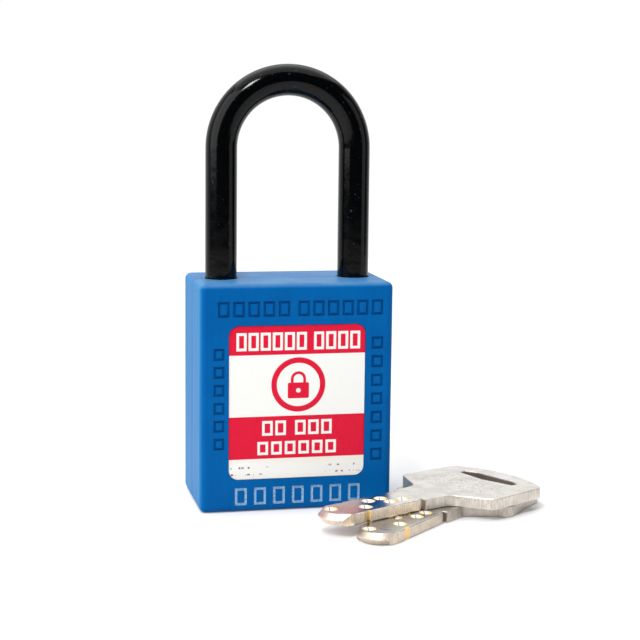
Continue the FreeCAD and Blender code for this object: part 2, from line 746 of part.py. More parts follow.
def key_blank(name):
    """Flat key along +X from its nose, lying on z = 0: blade, stop shoulders and bow."""
    body = new_body(name + "_blank")
    plan = sketch_in(body, name + "_plan", "XY_Plane")
    half_thickness = value("key_thickness / 2")
    nose_corner = "nose_radius - sqrt(nose_radius^2 - nose_half_width^2)"
    relief_start = "stop_distance - stop_relief_length"
    relief_floor = "blade_half_width - stop_relief_depth"
    near_side = [
        (nose_corner, "nose_half_width"),
        ("nose_taper_end", "blade_half_width"),
        (relief_start, "blade_half_width"),
        (relief_start, relief_floor),
        ("stop_distance", relief_floor),
        ("stop_distance", "stop_half_width"),
        ("neck_end", "neck_half_width"),
        ("bow_start", "bow_start_half_width"),
        ("bow_end", "bow_end_half_width"),
    ]
    below = [(u, f"-({w})") for u, w in near_side]
    above = near_side[::-1]
    below[-1] += ("bow_end_radius",)
    above[-1] += ("nose_radius",)
    outline(plan, below + above)
    slot_middle = "(ring_slot_start + ring_slot_end) / 2"
    tip_start = f"{slot_middle} - ring_slot_tip_half_length"
    tip_end = f"{slot_middle} + ring_slot_tip_half_length"
    outline(plan, [
        ("ring_slot_start", "0"), (tip_start, "-ring_slot_half_width"), (tip_end, "-ring_slot_half_width"),
        ("ring_slot_end", "-ring_slot_straight"), ("ring_slot_end", "ring_slot_straight"),
        (tip_end, "ring_slot_half_width"), (tip_start, "ring_slot_half_width"),
    ])
    plate = extrude(body, "Pad", plan, "key_thickness")
    corners = edges_of(plate, lambda edge: abs(edge.tangentAt(edge.FirstParameter).z) > ALONG
                       and edge.CenterOfMass.x > value("bow_start") - NEAR
                       and abs(edge.CenterOfMass.y) > value("bow_end_half_width") - NEAR)
    dress(body, "Fillet", corners, "bow_corner_radius")
    necks = edges_of(body.Tip, lambda edge: abs(edge.tangentAt(edge.FirstParameter).z) > ALONG
                     and abs(edge.CenterOfMass.x - value("neck_end")) < NEAR)
    dress(body, "Fillet", necks, "neck_fillet_radius")
    for height in ("0", "key_thickness"):
        nose = edges_of(body.Tip, lambda edge: isinstance(edge.Curve, Part.Circle)
                        and abs(edge.Curve.Radius - value("nose_radius")) < NEAR
                        and abs(edge.CenterOfMass.z - value(height)) < NEAR)
        bevel = dress(body, "Chamfer", nose, "nose_bevel_height")
        bevel.ChamferType = "Two distances"
        bevel.setExpression("Size2", cells("nose_bevel_length"))
        bevel.FlipDirection = height == "0"
    rims = edges_of(body.Tip, lambda edge: edge.CenterOfMass.x > value("nose_taper_end")
                    and edge.Length > value("rim_round")
                    and abs(edge.tangentAt(edge.FirstParameter).z) < NEAR
                    and abs(abs(edge.CenterOfMass.z - half_thickness) - half_thickness) < NEAR)
    dress(body, "Fillet", rims, "rim_round")
    return body


def dimple(name, distance, side, face):
    """Tool for one conical dimple in the upper or lower face of the blade."""
    floor = "key_thickness - dimple_depth" if face > 0 else "dimple_depth"
    mouth = "key_thickness" if face > 0 else "0"
    w = f"{side * face} * pin_row_offset"
    if face > 0:
        return cone(name, "dimple_floor_radius", "dimple_radius", floor, mouth, x=distance, y=w)
    return cone(name, "dimple_radius", "dimple_floor_radius", mouth, floor, x=distance, y=w)


def key(name, x, y, z, heading):
    """A finished key, cut alike on both faces, laid in its place."""
    tools = []
    for number, (distance, side) in enumerate(DIMPLES, start=1):
        for face in (1, -1):
            tools.append(dimple(f"{name}_dimple_{number}_{'upper' if face > 0 else 'under'}",
                                distance, side, face))
    for side in ("", "-"):
        tools.append(rod(f"{name}_edge_cut{side}".replace("-", "_far"), "edge_cut_radius", "-overcut",
                         "key_thickness + overcut", x="edge_cut_distance",
                         y=f"{side}(blade_half_width + edge_cut_radius - edge_cut_depth)"))
    finished = cut(name, key_blank(name), *tools)
    turn = FreeCAD.Rotation(FreeCAD.Vector(0, 0, 1), heading)
    nose = FreeCAD.Vector(x, y, z) - turn.multVec(FreeCAD.Vector(KEY_REFERENCE, 0, 0))
    finished.Placement = FreeCAD.Placement(nose, turn)
    return finished


# ---- the model ----

parts = shells() + labels()
parts += [case_screws(), shackle(), shackle_keeper()]
parts.append(coil("shackle_spring", "spring_wire", "spring_radius", "spring_turns", "spring_floor",
                  "heel_end", x="-leg_offset"))
parts += [cylinder_housing(), chamber_cap(), plug(), plug_clip()]
for chamber in chambers():
    parts += pin_stack(*chamber)
parts += [drive_disc(), disc_screw(), locking_bolt("right_bolt", 0), locking_bolt("left_bolt", 180)]
for key_name, place in KEYS.items():
    parts.append(key(key_name, **place))

doc.recompute()
failed = [item.Name for item in doc.Objects if {"Invalid", "Error"} & set(item.State)]
if failed:
    raise RuntimeError(f"failed objects: {failed}")
for part in parts:
    if part.Shape.isNull() or not part.Shape.isValid():
        raise RuntimeError(f"{part.Label} has no valid shape")

os.makedirs("parts", exist_ok=True)
for part in parts:
    part.Shape.exportStep(f"parts/{part.Label}.step")
    print(f"{part.Label}: {len(part.Shape.Solids)} solid(s), {part.Shape.Volume:.1f} mm3")
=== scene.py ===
import json
import math

import bpy
from mathutils import Matrix, Vector


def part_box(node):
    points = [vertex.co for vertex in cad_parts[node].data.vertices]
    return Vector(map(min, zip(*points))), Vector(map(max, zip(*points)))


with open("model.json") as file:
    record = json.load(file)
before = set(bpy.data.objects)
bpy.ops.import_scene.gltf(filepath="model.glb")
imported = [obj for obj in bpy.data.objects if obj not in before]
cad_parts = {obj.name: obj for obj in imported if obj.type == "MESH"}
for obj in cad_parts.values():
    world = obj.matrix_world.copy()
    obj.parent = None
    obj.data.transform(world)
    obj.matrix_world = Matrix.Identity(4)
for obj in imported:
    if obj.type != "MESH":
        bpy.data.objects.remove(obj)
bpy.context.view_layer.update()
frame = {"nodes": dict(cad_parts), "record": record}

# The looks of a keyed safety padlock and its two keys. Materials are worked out in millimetres
# in the frame's own axes: +X right seen from the label, +Y to the back, +Z up from the base.

MM = 0.001
WHITE = (1.0, 1.0, 1.0)


def box_mm(node):
    """Lowest and highest corner of a CAD node, in millimetres."""
    low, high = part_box(node)
    return Vector(low) / MM, Vector(high) / MM


# ---- camera, light and floor ----

CAMERA_AZIMUTH = -13.377
CAMERA_ELEVATION = 7.781
CAMERA_ROLL = 0.751
CAMERA_DISTANCE = 334.08
CAMERA_TARGET = Vector((12.323, 0.0, 38.753))
CAMERA_LENS = 93.68
CAMERA_SHIFT = (-0.0428, -0.0243)
# Brightness that the surroundings give as light, from the room in front to the backdrop behind, over
# this span of the direction's +Y share, and the brightness that the camera sees.
ROOM_BRIGHTNESS = 0.045
BACKDROP_BRIGHTNESS = 1.1
BACKDROP_SPAN = (-0.05, 0.6)
SEEN_BRIGHTNESS = 1.02
# Soft boxes: place, size and power in metres and watts, all turned to one point on the padlock.
LIT_POINT = (0.0, 0.0, 0.035)
SOFT_BOXES = {
    "left_box": ((-0.42, -0.16, 0.26), (0.5, 0.5), 2.2),
    "key_box": ((-0.15, -0.28, 0.42), (0.08, 0.09), 1.25),
    "right_box": ((0.45, -0.22, 0.16), (0.26, 0.36), 0.30),
    "top_box": ((0.02, 0.06, 0.55), (0.8, 0.66), 2.6),
}
FLOOR_RADIUS = 450.0
FLOOR_SIDES = 96
FLOOR_DROP = 0.05
FLOOR_FADE = (90.0, 330.0)
FLOOR_WHITE = (0.78, 0.78, 0.78)
FLOOR_EDGE_WHITE = (0.10, 0.10, 0.10)
FLOOR_GLOW = 0.10
FLOOR_EDGE_GLOW = 0.88


def add_camera():
    """A camera at the height and side of a person looking at the padlock on a table."""
    azimuth, elevation = math.radians(CAMERA_AZIMUTH), math.radians(CAMERA_ELEVATION)
    back = Vector((math.sin(azimuth) * math.cos(elevation), -math.cos(azimuth) * math.cos(elevation),
                   math.sin(elevation)))
    right = Vector((math.cos(azimuth), math.sin(azimuth), 0.0))
    turn = Matrix.Rotation(math.radians(CAMERA_ROLL), 3, back)
    right = turn @ right
    up = back.cross(right)
    camera = bpy.data.objects.new("camera", bpy.data.cameras.new("camera"))
    bpy.context.collection.objects.link(camera)
    place = Matrix((right, up, back)).transposed().to_4x4()
    place.translation = (CAMERA_TARGET + back * CAMERA_DISTANCE) * MM
    camera.matrix_world = place
    camera.data.lens = CAMERA_LENS
    camera.data.shift_x, camera.data.shift_y = CAMERA_SHIFT
    camera.data.clip_start = 10 * MM
    bpy.context.scene.camera = camera


def add_soft_box(name, place, size, power):
    """A rectangular soft box at a place, turned to the padlock."""
    light = bpy.data.objects.new(name, bpy.data.lights.new(name, "AREA"))
    bpy.context.collection.objects.link(light)
    light.data.shape = "RECTANGLE"
    light.data.size, light.data.size_y = size
    light.data.energy = power
    light.location = place
    light.rotation_euler = (Vector(LIT_POINT) - Vector(place)).to_track_quat("-Z", "Y").to_euler()


def light_the_scene():
    """A white backdrop behind the object, a dim room in front of it, and four soft boxes."""
    world = bpy.data.worlds.new("surroundings")
    bpy.context.scene.world = world
    world.use_nodes = True
    tree = world.node_tree

    def node(kind, **sockets):
        made = tree.nodes.new(kind)
        for name, source in sockets.items():
            socket = made.inputs[name.replace("_", " ")]
            if isinstance(source, bpy.types.NodeSocket):
                tree.links.new(source, socket)
            else:
                socket.default_value = source
        return made

    direction = node("ShaderNodeTexCoord").outputs["Generated"]
    depth = node("ShaderNodeSeparateXYZ", Vector=direction).outputs["Y"]
    brightness = node("ShaderNodeMapRange", Value=depth,
                      From_Min=BACKDROP_SPAN[0], From_Max=BACKDROP_SPAN[1],
                      To_Min=ROOM_BRIGHTNESS, To_Max=BACKDROP_BRIGHTNESS).outputs["Result"]
    room = tree.nodes["Background"]
    room.inputs["Color"].default_value = (*WHITE, 1.0)
    tree.links.new(brightness, room.inputs["Strength"])
    seen = node("ShaderNodeBackground", Color=(*WHITE, 1.0), Strength=SEEN_BRIGHTNESS)
    camera_ray = node("ShaderNodeLightPath").outputs["Is Camera Ray"]
    choice = node("ShaderNodeMixShader", Fac=camera_ray)
    tree.links.new(room.outputs["Background"], choice.inputs[1])
    tree.links.new(seen.outputs["Background"], choice.inputs[2])
    tree.links.new(choice.outputs["Shader"], tree.nodes["World Output"].inputs["Surface"])
    for name, (place, size, power) in SOFT_BOXES.items():
        add_soft_box(name, place, size, power)
    bpy.context.scene.view_settings.view_transform = "Standard"


def add_floor():
    """A plain white round table top that gets brighter towards its edge, where it meets the backdrop."""
    radius = FLOOR_RADIUS * MM
    turns = [math.tau * i / FLOOR_SIDES for i in range(FLOOR_SIDES)]
    mesh = bpy.data.meshes.new("floor")
    mesh.from_pydata([(radius * math.cos(turn), radius * math.sin(turn), 0.0) for turn in turns], [],
                     [tuple(range(FLOOR_SIDES))])
    floor = bpy.data.objects.new("floor", mesh)
    bpy.context.collection.objects.link(floor)
    floor.location.z = -FLOOR_DROP * MM
    shader = Shader("floor_white", Roughness=0.7, Specular_IOR_Level=0.1)
    edge = shader.ramp(shader.vector("LENGTH", shader.join(shader.x, shader.y)), *FLOOR_FADE)
    glow = shader.math("MULTIPLY", edge, FLOOR_EDGE_GLOW)
    shader.set("Base Color", shader.mix(edge, FLOOR_WHITE, FLOOR_EDGE_WHITE))
    shader.set("Emission Color", WHITE)
    shader.set("Emission Strength", shader.math("ADD", FLOOR_GLOW, glow))
    mesh.materials.append(shader.material)


# ---- building materials from nodes ----

EDGE_BLUR = 0.06
FRAME_ROUND = 0.08


class Shader:
    """A node material in the making, measured in millimetres."""

    def __init__(self, name, **constants):
        self.material = bpy.data.materials.new(name)
        self.material.use_nodes = True
        tree = self.material.node_tree
        self.nodes, self.links = tree.nodes, tree.links
        self.surface = self.nodes["Principled BSDF"]
        coordinates = self.nodes.new("ShaderNodeTexCoord")
        self.place = self.vector("SCALE", coordinates.outputs["Object"], scale=1 / MM)
        self.x, self.y, self.z = self.split(self.place)
        for socket, constant in constants.items():
            self.set(socket.replace("_", " "), constant)

    def set(self, socket, source):
        """Give one of the surface's sockets a constant or a node's output."""
        self.feed(source, self.surface.inputs[socket])

    def feed(self, source, socket):
        """Link an output to a socket, or set the socket to a constant."""
        if isinstance(source, bpy.types.NodeSocket):
            self.links.new(source, socket)
        elif isinstance(source, tuple) and len(source) == 3 and socket.type == "RGBA":
            socket.default_value = (*source, 1.0)
        else:
            socket.default_value = source

    def math(self, operation, *values):
        """The output of a math node."""
        node = self.nodes.new("ShaderNodeMath")
        node.operation = operation
        for value, socket in zip(values, node.inputs):
            self.feed(value, socket)
        return node.outputs[0]

    def vector(self, operation, *values, scale=None):
        """The output of a vector math node; the value output where the result is a number."""
        node = self.nodes.new("ShaderNodeVectorMath")
        node.operation = operation
        for value, socket in zip(values, node.inputs):
            self.feed(value, socket)
        if scale is not None:
            node.inputs["Scale"].default_value = scale
        is_number = operation in ("DISTANCE", "LENGTH", "DOT_PRODUCT")
        return node.outputs["Value" if is_number else "Vector"]

    def split(self, vector):
        """The three numbers of a vector."""
        node = self.nodes.new("ShaderNodeSeparateXYZ")
        self.feed(vector, node.inputs[0])
        return node.outputs[:3]

    def join(self, x, y, z=0.0):
        """A vector of three numbers."""
        node = self.nodes.new("ShaderNodeCombineXYZ")
        for value, socket in zip((x, y, z), node.inputs):
            self.feed(value, socket)
        return node.outputs[0]

    def ramp(self, value, start, end, low=0.0, high=1.0):
        """A number that goes smoothly from low to high as the value goes from start to end."""
        node = self.nodes.new("ShaderNodeMapRange")
        node.interpolation_type = "SMOOTHSTEP"
        for source, socket in zip((value, start, end, low, high), node.inputs):
            self.feed(source, socket)
        return node.outputs[0]

    def below(self, value, edge, blur=EDGE_BLUR):
        """1 where the value is below the edge, 0 above it."""
        return self.ramp(value, edge - blur / 2, edge + blur / 2, 1.0, 0.0)

    def between(self, value, low, high, blur=EDGE_BLUR):
        """1 between two edges."""
        offset = self.math("ABSOLUTE", self.math("SUBTRACT", value, (low + high) / 2))
        return self.below(offset, (high - low) / 2, blur)

    def both(self, *masks):
        """Where all masks hold."""
        product = masks[0]
        for mask in masks[1:]:
            product = self.math("MULTIPLY", product, mask)
        return product

    def either(self, *masks):
        """Where any mask holds."""
        most = masks[0]
        for mask in masks[1:]:
            most = self.math("MAXIMUM", most, mask)
        return most

    def without(self, mask, hole):
        """Where the mask holds and the hole doesn't."""
        return self.math("MULTIPLY", mask, self.math("SUBTRACT", 1.0, hole))

    def mix(self, factor, first, second):
        """A colour from first to second."""
        node = self.nodes.new("ShaderNodeMix")
        node.data_type = "RGBA"
        self.feed(factor, node.inputs["Factor"])
        self.feed(first, node.inputs["A"])
        self.feed(second, node.inputs["B"])
        sockets = [socket for socket in node.outputs if socket.type == "RGBA"]
        return sockets[0]

    def noise(self, scale, detail=2.0, roughness=0.5, vector=None):
        """Cloudy noise, scale in features per millimetre."""
        node = self.nodes.new("ShaderNodeTexNoise")
        self.feed(self.place if vector is None else vector, node.inputs["Vector"])
        node.inputs["Scale"].default_value = scale
        node.inputs["Detail"].default_value = detail
        node.inputs["Roughness"].default_value = roughness
        return node.outputs["Fac"]

    def stretch(self, x, y, z):
        """The place with each axis scaled."""
        return self.vector("MULTIPLY", self.place, (x, y, z))

    def bump(self, *layers):
        """Relief from (height, size in millimetres) layers."""
        normal = None
        for height, size in layers:
            node = self.nodes.new("ShaderNodeBump")
            self.feed(height, node.inputs["Height"])
            node.inputs["Distance"].default_value = size * MM
            if normal is not None:
                self.links.new(normal, node.inputs["Normal"])
            normal = node.outputs["Normal"]
        self.links.new(normal, self.surface.inputs["Normal"])

    def rounded_box(self, u, v, half_width, half_height, radius):
        """Distance outside a rounded rectangle's edge, negative inside."""
        over_u = self.math("SUBTRACT", self.math("ABSOLUTE", u), half_width - radius)
        over_v = self.math("SUBTRACT", self.math("ABSOLUTE", v), half_height - radius)
        outside = self.vector("LENGTH", self.join(self.math("MAXIMUM", over_u, 0.0),
                                                  self.math("MAXIMUM", over_v, 0.0)))
        inside = self.math("MINIMUM", self.math("MAXIMUM", over_u, over_v), 0.0)
        return self.math("SUBTRACT", self.math("ADD", outside, inside), radius)

    def frames(self, left, bottom, width, height, pitch, count, stroke):
        """A row of equal frames, from the left lower corner of the first one."""
        along = self.math("SUBTRACT", self.x, left)
        cell = self.math("SUBTRACT", self.math("FLOORED_MODULO", along, pitch), width / 2)
        up = self.math("SUBTRACT", self.z, bottom + height / 2)
        edge = self.rounded_box(cell, up, width / 2, height / 2, FRAME_ROUND)
        line = self.math("ABSOLUTE", self.math("ADD", edge, stroke / 2))
        margin = (pitch - width) / 2
        return self.both(self.below(line, stroke / 2),
                         self.between(along, -margin, pitch * count - margin))

    def block(self, left, bottom, right, top):
        """A plain rectangle in the front's plane."""
        return self.both(self.between(self.x, left, right), self.between(self.z, bottom, top))


# ---- the case ----

CASE_BLUE = (0.0, 0.108, 0.352)
CASE_BLUE_DEEP = (0.0, 0.090, 0.314)
CASE_BLUE_SIDE = (0.010, 0.142, 0.362)
CASE_BLUE_STREAK = (0.018, 0.180, 0.408)
# Lighter blue of the top: its scuffs, and painted sheen from the light above.
CASE_BLUE_SCUFFED_AND_SHEEN = (0.075, 0.22, 0.425)
# Painted shade for the floors of the sunk marks.
MARK_PAINTED_SHADE_BLUE = (0.0, 0.05, 0.20)
STAMP_BLUE = (0.42, 0.62, 0.80)
# How far from the front's edges and base its sunk marks can lie, how deep below it their floors, and
# where the pale stamped row is (left, bottom, right, top).
MARK_MARGIN = 1.3
MARK_BOTTOM = 1.25
MARK_DEPTHS = (0.05, 0.5)
STAMPED_ROW = (-12.4, 1.2, 12.8, 4.9)


def case_material():
    """Moulded nylon: fine grain, faint flow streaks, painted shade in the debossed marks, a scuffed top
    painted lighter as sheen, and a pale stamped row.
    """
    low, high = box_mm("front_shell")
    shader = Shader("case_blue", Specular_IOR_Level=0.042)
    grain = shader.noise(5.0, 3.0)
    streaks = shader.noise(1.0, 3.0, 0.6, vector=shader.stretch(1.1, 1.1, 0.03))
    clouds = shader.noise(0.12, 3.0)
    tone = shader.math("ADD", shader.math("MULTIPLY", streaks, 0.4), shader.math("MULTIPLY", clouds, 0.6))
    colour = shader.mix(shader.ramp(tone, 0.3, 0.7), CASE_BLUE_DEEP, CASE_BLUE)
    side = shader.ramp(shader.math("ABSOLUTE", shader.x), high.x - 0.5, high.x - 0.1)
    drawn = shader.mix(shader.ramp(streaks, 0.34, 0.66), CASE_BLUE_SIDE, CASE_BLUE_STREAK)
    colour = shader.mix(side, colour, drawn)
    # The top is drawn lighter: partly scuffs, partly painted sheen.
    top = shader.both(shader.ramp(shader.z, high.z - 0.9, high.z - 0.1),
                      shader.ramp(clouds, 0.2, 0.8, 0.5, 1.0))
    colour = shader.mix(top, colour, CASE_BLUE_SCUFFED_AND_SHEEN)
    shallow, deep = MARK_DEPTHS
    sunk = shader.both(shader.between(shader.y, low.y + shallow, low.y + deep, 0.05),
                       shader.between(shader.x, low.x + MARK_MARGIN, high.x - MARK_MARGIN),
                       shader.between(shader.z, MARK_BOTTOM, high.z - MARK_MARGIN))
    # Painted shade darkens the sunk marks.
    colour = shader.mix(shader.math("MULTIPLY", sunk, 0.35), colour, MARK_PAINTED_SHADE_BLUE)
    stamped = shader.both(sunk, shader.block(*STAMPED_ROW))
    foil = shader.ramp(shader.noise(2.6, 4.0), 0.3, 0.6, 0.5, 1.0)
    colour = shader.mix(shader.both(stamped, foil), colour, STAMP_BLUE)
    shader.set("Base Color", colour)
    shader.set("Roughness", shader.ramp(grain, 0.2, 0.8, 0.36, 0.5))
    shader.bump((shader.noise(0.25, 2.0), 0.03), (streaks, 0.02), (grain, 0.006))
    return shader.material


# ---- the labels ----

LABEL_RED = (0.67, 0.008, 0.038)
LABEL_WHITE = (0.83, 0.83, 0.80)
STRIP_WHITE = (0.84, 0.80, 0.74)
PRINT_DARK = (0.25, 0.02, 0.03)
RULE_DARK = (0.05, 0.06, 0.08)
HEAD_BOTTOM = 30.75
RED_BAND = (10.35, 18.7)
# Rows of blank frames: left, bottom, width, height, pitch, how many, and the width of their lines.
FRONT_ROWS = [
    (-12.0, 31.6, 2.0, 3.5, 2.36, 6, 0.52),
    (3.2, 31.6, 2.0, 3.5, 2.4, 4, 0.52),
    (-6.9, 14.9, 2.1, 2.9, 2.6, 2, 0.5),
    (-0.4, 14.9, 2.1, 2.9, 2.6, 3, 0.5),
    (-7.8, 11.1, 2.1, 2.6, 2.7, 6, 0.5),
]
REAR_ROW = (-9.4, 31.8, 2.1, 3.2, 2.8, 7, 0.5)
# The sign on the front label: its middle, its ring's radii, and the padlock drawn inside.
SIGN_MIDDLE = (0.2, 24.8)
SIGN_RING = (4.25, 5.35)
SIGN_BODY_DROP = 1.15
SIGN_BODY_HALF_SIZE = (2.1, 1.55)
SIGN_BODY_ROUND = 0.3
SIGN_BOW_CENTRE = 1.1
SIGN_BOW = (0.95, 1.5)
SIGN_BOW_HEIGHTS = (0.3, 3.0)
SIGN_KEYHOLE_RADIUS = 0.45
# Ruled lines on the rear label.
RULE_PITCH = 5.6
RULE_HALF_WIDTH = 0.09
RULED_AREA = (-11.0, 8.0, 11.0, 29.5)


def laminate(shader, colour):
    """Printed film under a clear cover: smooth, with the faint waviness of stuck film."""
    shader.set("Base Color", colour)
    shader.set("Roughness", shader.ramp(shader.noise(0.8, 3.0), 0.3, 0.7, 0.26, 0.36))
    shader.bump((shader.noise(0.12, 2.0), 0.04), (shader.noise(3.0, 2.0), 0.002))


def padlock_sign(shader):
    """A ring round a small padlock."""
    x, z = SIGN_MIDDLE
    across = shader.math("SUBTRACT", shader.x, x)
    up = shader.math("SUBTRACT", shader.z, z)
    radius = shader.vector("LENGTH", shader.join(across, up))
    ring = shader.between(radius, *SIGN_RING)
    lower = shader.math("ADD", up, SIGN_BODY_DROP)
    body = shader.below(shader.rounded_box(across, lower, *SIGN_BODY_HALF_SIZE, SIGN_BODY_ROUND), 0.0)
    bow_height = shader.math("MAXIMUM", shader.math("SUBTRACT", up, SIGN_BOW_CENTRE), 0.0)
    bow_radius = shader.vector("LENGTH", shader.join(across, bow_height))
    bow = shader.both(shader.between(bow_radius, *SIGN_BOW), shader.between(up, *SIGN_BOW_HEIGHTS))
    keyhole = shader.below(shader.vector("LENGTH", shader.join(across, lower)), SIGN_KEYHOLE_RADIUS)
    return shader.either(ring, shader.without(body, keyhole), bow)


def front_label_material():
    """Red and white bands with rows of blank frames, a sign in a ring and a worn strip below."""
    shader = Shader("front_label_print", Specular_IOR_Level=0.1)
    bands = shader.either(shader.math("GREATER_THAN", shader.z, HEAD_BOTTOM),
                          shader.between(shader.z, *RED_BAND))
    rows = shader.either(*[shader.frames(*row) for row in FRONT_ROWS])
    colour = shader.mix(bands, LABEL_WHITE, LABEL_RED)
    colour = shader.mix(padlock_sign(shader), colour, LABEL_RED)
    colour = shader.mix(rows, colour, LABEL_WHITE)
    worn = shader.math("LESS_THAN", shader.z, RED_BAND[0])
    wave = shader.math("MULTIPLY", shader.noise(0.35, 3.0), 2.2)
    wiped = shader.between(shader.math("ADD", shader.z, wave), 8.0, 10.6, 0.5)
    strip = shader.mix(wiped, STRIP_WHITE, LABEL_WHITE)
    speckle = shader.ramp(shader.noise(1.3, 1.0, vector=shader.stretch(1.0, 1.0, 0.4)), 0.56, 0.62)
    ends = shader.ramp(shader.math("ABSOLUTE", shader.x), 4.0, 9.0)
    lines = shader.either(shader.between(shader.z, 8.5, 8.85, 0.2),
                          shader.between(shader.z, 7.2, 7.5, 0.2))
    strip = shader.mix(shader.both(speckle, ends, lines), strip, PRINT_DARK)
    laminate(shader, shader.mix(worn, colour, strip))
    return shader.material


def rear_label_material():
    """White film with a red head and ruled lines to write on."""
    shader = Shader("rear_label_print", Specular_IOR_Level=0.1)
    head = shader.math("GREATER_THAN", shader.z, HEAD_BOTTOM)
    head_marks = shader.frames(*REAR_ROW)
    up = shader.math("FLOORED_MODULO", shader.z, RULE_PITCH)
    from_rule = shader.math("ABSOLUTE", shader.math("SUBTRACT", up, RULE_PITCH / 2))
    rules = shader.both(shader.below(from_rule, RULE_HALF_WIDTH, 0.05), shader.block(*RULED_AREA))
    colour = shader.mix(head, LABEL_WHITE, LABEL_RED)
    colour = shader.mix(shader.both(head, head_marks), colour, LABEL_WHITE)
    laminate(shader, shader.mix(rules, colour, RULE_DARK))
    return shader.material


# ---- the shackle ----

SHACKLE_BLACK = (0.0003, 0.0005, 0.0008)
SHACKLE_BLACK_WORN = (0.0008, 0.0010, 0.0013)
DUST_GREY = (0.022, 0.026, 0.031)


def shackle_material():
    """Glossy black nylon with the slight unevenness of a moulded cover and a few specks of dust."""
    shader = Shader("shackle_black", Specular_IOR_Level=0.18)
    clouds = shader.noise(0.2, 3.0)
    colour = shader.mix(clouds, SHACKLE_BLACK, SHACKLE_BLACK_WORN)
    dust = shader.ramp(shader.noise(1.6, 3.0, vector=shader.stretch(1.0, 1.0, 0.7)), 0.66, 0.74)
    shader.set("Base Color", shader.mix(dust, colour, DUST_GREY))
    shader.set("Roughness", shader.ramp(shader.noise(0.6, 3.0), 0.3, 0.7, 0.10, 0.14))
    shader.bump((shader.noise(0.3, 2.0), 0.03), (shader.noise(4.0, 2.0), 0.001))
    return shader.material


# ---- the keys ----

# Where each key lies: x and y of the point this far from its nose, and its heading in degrees.
KEY_REFERENCE = 15.3
KEY_PLACES = {
    "lower_key": (18.5, -27.3, 44.8),
    "upper_key": (14.5, -23.75, 28.35),
}
# Dimples: distance from the nose, and the side of the blade.
KEY_DIMPLES = [(2.9, 1), (9.05, -1), (12.35, 1), (15.5, 1), (15.4, -1), (18.7, -1)]
DIMPLE_ROW = 1.45
DIMPLE_RADIUS = 1.35
# The ring slot's start, end and half width, and the edge cut's start, end and distance from the middle.
RING_SLOT = (41.9, 45.4, 7.2)
EDGE_CUT = (6.45, 8.15)
EDGE_CUT_SIDE = (3.4, 3.6)
# How each key's colour is scaled: the lower key is drawn darker overall than the upper one.
KEY_TONES = {
    "lower_key": (0.83, 0.82, 0.81),
    "upper_key": (1.0, 1.0, 1.0),
}
KEY_SILVER = (0.76, 0.73, 0.69)
KEY_SILVER_DULL = (0.60, 0.57, 0.53)
KEY_SCRATCH = (0.26, 0.22, 0.19)
SLOT_BROWN = (0.20, 0.15, 0.12)
DIMPLE_CREAM = (0.86, 0.80, 0.66)
# Dark line painted down each dimple's middle as a reflection seam.
DIMPLE_PAINTED_REFLECTION_SEAM = (0.16, 0.13, 0.09)
CUT_BRASS = (0.88, 0.62, 0.26)
EDGE_WARM = (0.96, 0.82, 0.66)


